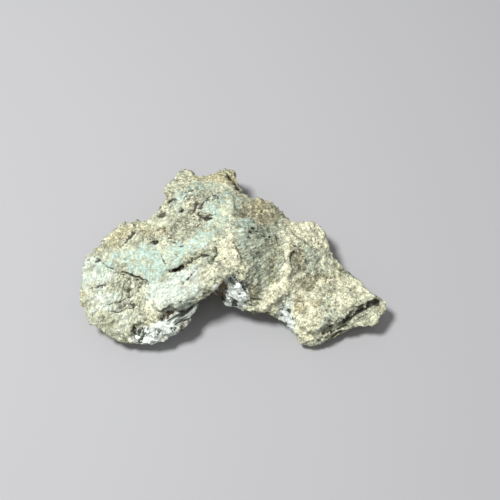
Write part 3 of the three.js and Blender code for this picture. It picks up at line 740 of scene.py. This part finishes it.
def thin_underside(context, item, share):
    """Keeps a share of an object's faces, all the loss being underneath, and returns its mesh."""
    _, normals = mesh_arrays(item.data)
    under = item.vertex_groups.new(name="underside")
    under.add(np.flatnonzero(normals[:, 2] < UNDERSIDE).tolist(), 1.0, "REPLACE")
    fewer = item.modifiers.new("fewer faces", "DECIMATE")
    fewer.ratio = share
    fewer.vertex_group = under.name
    mesh = bake_modifiers(context, item)
    item.vertex_groups.clear()
    return mesh


def new_object(name, data):
    item = bpy.data.objects.new(name, data)
    bpy.context.scene.collection.objects.link(item)
    return item


class Wiring:
    """Adds nodes to a material and joins them. A scale is a number of swells or cells a metre."""

    def __init__(self, tree):
        self.tree = tree

    def add(self, kind, inputs=(), **settings):
        """Adds a shader node. Its inputs get numbers, colours or other nodes' outputs."""
        node = self.tree.nodes.new("ShaderNode" + kind)
        for name, value in settings.items():
            setattr(node, name, value)
        for name, value in dict(inputs).items():
            self.give(node.inputs[name], value)
        return node

    def give(self, slot, value):
        if isinstance(value, bpy.types.NodeSocket):
            self.tree.links.new(value, slot)
        else:
            slot.default_value = value

    def mask(self, name):
        """A mask kept on the mesh."""
        return self.add("Attribute", attribute_name=name).outputs["Fac"]

    def noise(self, place, scale, detail, rough):
        """A noise value from 0 to 1."""
        inputs = {"Vector": place, "Scale": scale, "Detail": detail, "Roughness": rough}
        return self.add("TexNoise", inputs).outputs["Fac"]

    def grain_number(self, place, scale):
        """A number from 0 to 1 for each angular grain."""
        cells = self.add("TexVoronoi", {"Vector": place, "Scale": scale}, feature="F1")
        return self.add("SeparateColor", {0: cells.outputs["Color"]}).outputs[0]

    def net(self, place, scale, width):
        """Thin joints between angular cells."""
        inputs = {"Vector": place, "Scale": scale}
        cells = self.add("TexVoronoi", inputs, feature="DISTANCE_TO_EDGE")
        return self.spread(cells.outputs["Distance"], width, width * 0.3)

    def warped(self, place, scale, reach):
        """The place moved to and fro by noise."""
        swells = self.add("TexNoise", {"Vector": place, "Scale": scale})
        inputs = {0: swells.outputs["Color"], 1: (reach, reach, reach), 2: place}
        return self.add("VectorMath", inputs, operation="MULTIPLY_ADD").outputs[0]

    def spread(self, value, low, high, to_low=0.0, to_high=1.0):
        """Stretches a value softly from one range to another."""
        inputs = {
            "Value": value, "From Min": low, "From Max": high, "To Min": to_low, "To Max": to_high
        }
        node = self.add("MapRange", inputs, interpolation_type="SMOOTHSTEP")
        return node.outputs["Result"]

    def fold(self, kind, first, *rest):
        """Values joined one after another by a sum, product or other rule."""
        for value in rest:
            first = self.add("Math", {0: first, 1: value}, operation=kind).outputs[0]
        return first

    def total(self, *values):
        return self.fold("ADD", *values)

    def less(self, *values):
        return self.fold("SUBTRACT", *values)

    def product(self, *values):
        return self.fold("MULTIPLY", *values)

    def largest(self, *values):
        return self.fold("MAXIMUM", *values)

    def toward_one(self, value, share):
        """A factor weakened towards 1 where a share is small."""
        return self.total(self.product(self.less(value, 1.0), share), 1.0)

    def mix(self, share, first, second):
        """A colour between two colours."""
        node = self.add("Mix", {"Factor": share}, data_type="RGBA")
        slots = [slot for slot in node.inputs if slot.type == "RGBA"]
        self.give(slots[0], first)
        self.give(slots[1], second)
        return [slot for slot in node.outputs if slot.type == "RGBA"][0]

    def shade(self, colour, factor):
        """A colour made lighter or darker by a value."""
        inputs = {0: colour, "Scale": factor}
        return self.add("VectorMath", inputs, operation="SCALE").outputs[0]


# Crusts, the lowest first: mask, the strengths between which it thickens, and how ragged it is.
CRUSTS = [
    ("grey_and_shade", 0.3, 0.9, 0.5), ("umber", 0.3, 0.95, 0.5), ("pale", 0.25, 0.85, 0.5),
    ("cream", 0.25, 0.8, 0.5), ("ochre", 0.35, 1.0, 0.5), ("mint", 0.3, 1.45, 0.85),
]


class StoneFinish(Wiring):
    """Ore with a dull glitter, under crusts of mint, ochre and cream."""

    def __init__(self, tree, look):
        super().__init__(tree)
        self.look = look
        place = self.add("TexCoord").outputs["Object"]
        lay = self.add("Attribute", attribute_name="lay").outputs["Vector"]

        # Noises, with their scale, detail and roughness. Two follow the drawn-out grain.
        self.clouds = self.noise(place, 190.0, 4.0, 0.6)
        self.fray = self.noise(place, 420.0, 7.0, 0.72)
        self.mottle = self.noise(place, 1500.0, 4.0, 0.7)
        self.dots = self.noise(place, 2700.0, 2.0, 0.5)
        self.speck = self.noise(place, 3600.0, 3.0, 0.7)
        self.bands = self.noise(lay, 620.0, 4.0, 0.62)
        self.strand = self.noise(lay, 2700.0, 3.0, 0.62)
        self.crumb = self.grain_number(place, 2300.0)
        self.flake = self.grain_number(place, 1050.0)

        # Joints between coarse and fine cells of ore, here and there.
        bent = self.warped(place, 900.0, 0.0012)
        fine_net = self.product(self.net(bent, 1150.0, 0.13), 0.7)
        self.joints = self.largest(self.net(bent, 480.0, 0.09), fine_net)
        here = self.spread(self.noise(place, 600.0, 4.0, 0.6), 0.46, 0.58)
        self.joints = self.product(self.joints, here)

        # Crusted and fresh ground is less busy than bare ore.
        self.drawn, self.pitted = self.mask("drawn"), self.mask("pitted")
        self.fresh = self.spread(self.mask("fresh"), 0.2, 0.8)
        cream = self.product(self.mask("cream"), 0.3)
        calm = self.largest(self.mask("mint"), self.mask("pale"), self.fresh, cream)
        self.busy = self.less(1.0, self.product(calm, 0.55))

    def over(self, base, name, colour, low, high, ragged):
        """A colour laid over the ground where its mask is strong, with ragged edges."""
        share = self.total(self.mask(name), self.spread(self.fray, 0.3, 0.7, -ragged, ragged))
        return self.mix(self.spread(share, low, high), base, colour)

    def ground(self):
        """Colour of the ore and of the crusts over it, some of it painted shade, light and glint,
        before grain, dirt and the painted shade of the hollows.
        """
        look = self.look
        ground = self.mix(self.spread(self.clouds, 0.38, 0.62), look.ore_dark, look.ore_light)
        ground = self.mix(self.spread(self.mottle, 0.52, 0.68), ground, look.ore_pale)
        ground = self.mix(self.spread(self.mottle, 0.46, 0.32), ground, look.ore_shade)
        for name, low, high, ragged in CRUSTS:
            dark, light = getattr(look, name + "_dark"), getattr(look, name + "_light")
            colour = self.mix(self.spread(self.mottle, 0.38, 0.62), dark, light)
            ground = self.over(ground, name, colour, low, high, ragged)
        # Fresh ore in light and dark bands. The light bands are partly painted glint, and they also
        # lighten the fresh ore that lies in the shadow of the overhang above it.
        metal_and_glint = self.mix(self.spread(self.bands, 0.37, 0.46), look.fresh_dark, look.fresh_light_and_glint)
        ground = self.mix(self.fresh, ground, metal_and_glint)
        # Rust stains, and the painted shadow under the slab's lower ledge.
        return self.over(ground, "rust_and_shade", look.rust_and_shade, 0.3, 0.9, 0.5)

    def tone(self):
        """How much lighter or darker each grain and strand is than the ground."""
        tone = self.product(
            self.spread(self.mask("grain"), 0.15, 0.85, 0.9, 1.08),
            self.spread(self.crumb, 0.0, 0.9, 0.76, 1.22),
            self.spread(self.flake, 0.0, 0.9, 0.82, 1.15),
            self.spread(self.speck, 0.36, 0.64, 0.8, 1.18),
        )
        plain = self.less(1.0, self.product(self.drawn, 0.45))
        tone = self.toward_one(tone, self.product(self.busy, plain))
        streaks = self.spread(self.strand, 0.38, 0.6, 0.64, 1.3)
        return self.product(tone, self.toward_one(streaks, self.product(self.drawn, self.busy)))

    def dirt_and_shade(self):
        """Dirt in the joints, in dots and in dashes between the strands."""
        marks = self.product(self.joints, self.spread(self.pitted, 0.2, 0.9, 0.45, 0.85))
        marks = self.largest(marks, self.product(self.spread(self.dots, 0.42, 0.36), 0.75))
        dashes = self.spread(self.strand, 0.42, 0.34)
        dashes = self.product(dashes, self.pitted, self.drawn, 0.75)
        return self.largest(self.product(marks, self.busy), dashes)

    def dress(self, shader):
        """Gives a shader its colour, roughness and glitter, and relief too fine for the mesh."""
        colour = self.shade(self.ground(), self.tone())
        colour = self.mix(self.dirt_and_shade(), colour, self.look.dirt_and_shade)
        # Dirt and painted shade darken the sunken hollows: how deep the surface sinks, and the
        # cracks and pits marked on the relief.
        hollow_shade_and_dirt = self.spread(self.mask("hollow_shade_and_dirt"), 0.3, 1.0, 0.0, 0.94)
        rough = self.spread(self.crumb, 0.1, 0.9, 0.42, 0.8)
        bright = self.product(self.fresh, self.spread(self.clouds, 0.4, 0.6, 0.45, 0.85))
        height = self.total(
            self.product(self.speck, 0.5),
            self.product(self.mottle, 0.9),
            self.product(self.crumb, 0.22),
            self.product(self.strand, self.drawn, 0.9),
            self.product(self.joints, -0.4),
        )
        bump = {"Strength": BUMP_STRENGTH, "Distance": BUMP_DISTANCE, "Height": height}
        finish = {
            "Base Color": self.mix(hollow_shade_and_dirt, colour, self.look.dirt_and_shade),
            "Roughness": self.less(rough, self.product(self.fresh, 0.14)),
            "Metallic": self.largest(bright, self.spread(self.crumb, 0.2, 0.1, 0.0, 0.35)),
            "Normal": self.add("Bump", bump).outputs["Normal"],
        }
        for name, value in finish.items():
            self.give(shader.inputs[name], value)


def new_material(name):
    """A material, and its shader."""
    material = bpy.data.materials.new(name)
    material.use_nodes = True
    return material, material.node_tree.nodes["Principled BSDF"]


def stone_material(look):
    """The finish of the whole stone."""
    material, shader = new_material("weathered pyrite")
    StoneFinish(material.node_tree, look).dress(shader)
    return material


def floor_material(paint):
    """Plain matt board."""
    material, shader = new_material("plain board")
    shader.inputs["Base Color"].default_value = paint
    shader.inputs["Roughness"].default_value = FLOOR_ROUGHNESS
    return material


def colour(name, description, default):
    return bpy.props.FloatVectorProperty(
        name=name, description=description, default=(*default, 1.0),
        subtype="COLOR", size=4, min=0, max=1,
    )


class PyriteLook(bpy.types.PropertyGroup):
    """Sizes and colours of the stone."""

    grain: bpy.props.FloatProperty(
        name="Grain", description="Spacing of the finest modelled relief",
        default=0.00029, min=0.0002, max=0.001, subtype="DISTANCE", unit="LENGTH",
    )
    faces_kept: bpy.props.FloatProperty(
        name="Faces kept", description="Share of faces left when the underside is thinned",
        default=0.81, min=0.6, max=1.0, subtype="FACTOR",
    )
    roughness: bpy.props.FloatProperty(
        name="Relief", description="Strength of the weathered relief",
        default=1.0, min=0.0, max=2.0, subtype="FACTOR",
    )
    ore_light: colour("Ore, light", "Weathered ore", (0.62, 0.63, 0.45))
    ore_dark: colour("Ore, dark", "Weathered ore, dark clouds", (0.40, 0.42, 0.29))
    ore_pale: colour("Ore, pale", "Pale grains in the ore", (0.80, 0.81, 0.67))
    ore_shade: colour("Ore, shade", "Dark grains in the ore", (0.22, 0.23, 0.16))
    # The dome's grey is partly painted shade, darker for its side that faces away from the light.
    grey_and_shade_light: colour("Grey ore, light", "Grey ore of the dome", (0.50, 0.54, 0.41))
    grey_and_shade_dark: colour("Grey ore, dark", "Grey ore of the dome", (0.31, 0.35, 0.26))
    umber_light: colour("Umber, light", "Brown-olive ore", (0.47, 0.45, 0.30))
    umber_dark: colour("Umber, dark", "Brown-olive ore", (0.22, 0.205, 0.12))
    pale_light: colour("Pale face, light", "Pale broken faces", (0.76, 0.835, 0.74))
    pale_dark: colour("Pale face, dark", "Pale broken faces", (0.525, 0.588, 0.492))
    cream_light: colour("Cream crust, light", "Cream crust on the rims", (0.88, 0.87, 0.63))
    cream_dark: colour("Cream crust, dark", "Cream crust on the rims", (0.62, 0.61, 0.43))
    ochre_light: colour("Ochre, light", "Ochre stain", (0.60, 0.56, 0.35))
    ochre_dark: colour("Ochre, dark", "Ochre stain", (0.36, 0.32, 0.18))
    mint_light: colour("Mint, light", "Copper-green crust", (0.585, 0.73, 0.635))
    mint_dark: colour("Mint, dark", "Copper-green crust", (0.37, 0.505, 0.42))
    # The light of the fresh ore is partly painted glint.
    fresh_light_and_glint: colour("Fresh ore, light", "Bright broken ore", (0.86, 0.93, 0.85))
    fresh_dark: colour("Fresh ore, dark", "Dull broken ore", (0.07, 0.07, 0.06))
    # Brown of the rust stains, also used for the painted shadow under the slab's lower ledge.
    rust_and_shade: colour("Rust", "Brown stain", (0.16, 0.11, 0.065))
    # Dark colour of the dirt in joints and specks, also used as painted shade in cracks, pits and
    # hollows.
    dirt_and_shade: colour("Dirt", "Dirt in cracks and pits", (0.035, 0.03, 0.022))


class StageLook(bpy.types.PropertyGroup):
    """Sizes and colours of the stage."""

    floor_size: bpy.props.FloatProperty(
        name="Floor", description="Side of the floor",
        default=3.0, min=0.5, subtype="DISTANCE", unit="LENGTH",
    )
    floor_colour: colour("Floor colour", "Pale board under the stone", (0.40, 0.40, 0.41))
    key_power: bpy.props.FloatProperty(
        name="Key light", description="Power of the soft light over the stone",
        default=3.7, min=0.0, unit="POWER",
    )
    fill: bpy.props.FloatProperty(
        name="Fill light", description="Strength of the even light all round",
        default=0.37, min=0.0,
    )


class PYRITE_OT_stone(bpy.types.Operator):
    """Dresses the plain lump with its weathered relief and finish"""

    bl_idname = "pyrite.stone"
    bl_label = "Stone"

    def execute(self, context):
        look = context.scene.pyrite_look
        stone = new_object(PIECE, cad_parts[NODE].data.copy())
        stone.data.materials.clear()
        # The solid's edges are made ragged, and the ledge in front of the slab is cut down.
        skin = even_skin(context, stone, look.grain)
        points, _ = mesh_arrays(skin)
        points = neighbour_mean(skin, points, SKIN_ROUNDS)
        for spacing, reach, seed in SHAKE:
            clear = ramp(points[:, 2], SHAKE_FROM, SHAKE_TO)[:, None]
            points = points + reach * sway(points, spacing, seed) * clear
        drop, _ = cut_back(points, swayed(points), torn(points, fine_grains(points)))
        points[:, 2] -= drop
        move_corners(skin, points)

        # The cut gets a skin as even as the rest, and the relief is laid on.
        even_skin(context, stone, look.grain)
        skin = thin_underside(context, stone, look.faces_kept)
        points, normals = mesh_arrays(skin)
        normals = neighbour_mean(skin, normals, NORMAL_ROUNDS)
        normals /= np.maximum(np.linalg.norm(normals, axis=1, keepdims=True), 1e-6)
        relief = Weathering(points, normals)
        weathered = points + normals * (relief.height * look.roughness)[:, None]
        low, high = (np.array(corner) / MM for corner in CAD_BOX)
        weathered = np.clip(weathered, low, high + (0, 0, ROOM_ABOVE))
        move_corners(skin, weathered)

        # Dirt and painted shade darken the sunken surface.
        sunk = neighbour_mean(skin, weathered, CAVITY_ROUNDS) - weathered
        depth = np.einsum("ij,ij->i", sunk, normals)
        masks = relief.masks()
        masks["hollow_shade_and_dirt"] = np.maximum(ramp(depth, CAVITY_FROM, CAVITY_TO), relief.hollow)
        for name, values in masks.items():
            store_mask(skin, name, values)
        layout = skin.attributes.new("lay", "FLOAT_VECTOR", "POINT")
        layout.data.foreach_set("vector", (relief.lay * MM).astype(np.float32).ravel())
        skin.shade_smooth()
        skin.materials.append(stone_material(look))
        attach(stone, "root")
        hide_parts(NODE)
        return {"FINISHED"}


class PYRITE_OT_stage(bpy.types.Operator):
    """Adds the floor, the lights and the camera"""

    bl_idname = "pyrite.stage"
    bl_label = "Stage"

    def execute(self, context):
        scene = context.scene
        look = scene.stage_look
        half = look.floor_size / 2
        corners = ((-half, -half), (half, -half), (half, half), (-half, half))
        board = bpy.data.meshes.new("floor")
        board.from_pydata([(x, y, -FLOOR_DROP) for x, y in corners], [], [(0, 1, 2, 3)])
        board.materials.append(floor_material(look.floor_colour))
        floor = new_object("floor", board)

        lamp = bpy.data.lights.new("key light", "AREA")
        lamp.shape = "DISK"
        lamp.size = KEY_SIZE
        lamp.energy = look.key_power
        key = new_object("key light", lamp)
        key.location = CAMERA_TARGET + KEY_DIRECTION * KEY_DISTANCE
        key.rotation_euler = KEY_DIRECTION.to_track_quat("Z", "Y").to_euler()

        world = bpy.data.worlds.new("even light")
        world.use_nodes = True
        back = world.node_tree.nodes["Background"]
        back.inputs["Color"].default_value = WHITE
        back.inputs["Strength"].default_value = look.fill
        scene.world = world

        lens = bpy.data.cameras.new("camera")
        lens.lens = CAMERA_LENS
        lens.sensor_width = CAMERA_SENSOR
        lens.clip_start = CLIP_START
        camera = new_object("camera", lens)
        away = Vector((0.0, -math.cos(CAMERA_ELEVATION), math.sin(CAMERA_ELEVATION)))
        distance = PIXEL_SIZE * PICTURE_WIDTH * CAMERA_LENS / CAMERA_SENSOR
        camera.location = CAMERA_TARGET + away * distance
        camera.rotation_euler = away.to_track_quat("Z", "Y").to_euler()
        scene.camera = camera
        scene.view_settings.view_transform = "Standard"
        scene.view_settings.look = "None"
        return {"FINISHED"}


class PYRITE_PT_panel(bpy.types.Panel):
    """Lists the steps and their settings"""

    bl_idname = "PYRITE_PT_panel"
    bl_label = "Raw pyrite"
    bl_space_type = "VIEW_3D"
    bl_region_type = "UI"
    bl_category = "Raw pyrite"

    def draw(self, context):
        column = self.layout.column()
        for step in STEPS:
            column.operator(step.bl_idname)
        for group in (context.scene.pyrite_look, context.scene.stage_look):
            for name in group.__annotations__:
                column.prop(group, name)


STEPS = (PYRITE_OT_stage, PYRITE_OT_stone)
CLASSES = (PyriteLook, StageLook, *STEPS, PYRITE_PT_panel)


def register():
    for item in CLASSES:
        bpy.utils.register_class(item)
    bpy.types.Scene.pyrite_look = bpy.props.PointerProperty(type=PyriteLook)
    bpy.types.Scene.stage_look = bpy.props.PointerProperty(type=StageLook)


def unregister():
    del bpy.types.Scene.stage_look
    del bpy.types.Scene.pyrite_look
    for item in reversed(CLASSES):
        bpy.utils.unregister_class(item)


def main():
    """Registers the add-on and makes each piece."""
    register()
    bpy.ops.pyrite.stage()
    bpy.ops.pyrite.stone()


if __name__ == "__main__":
    main()
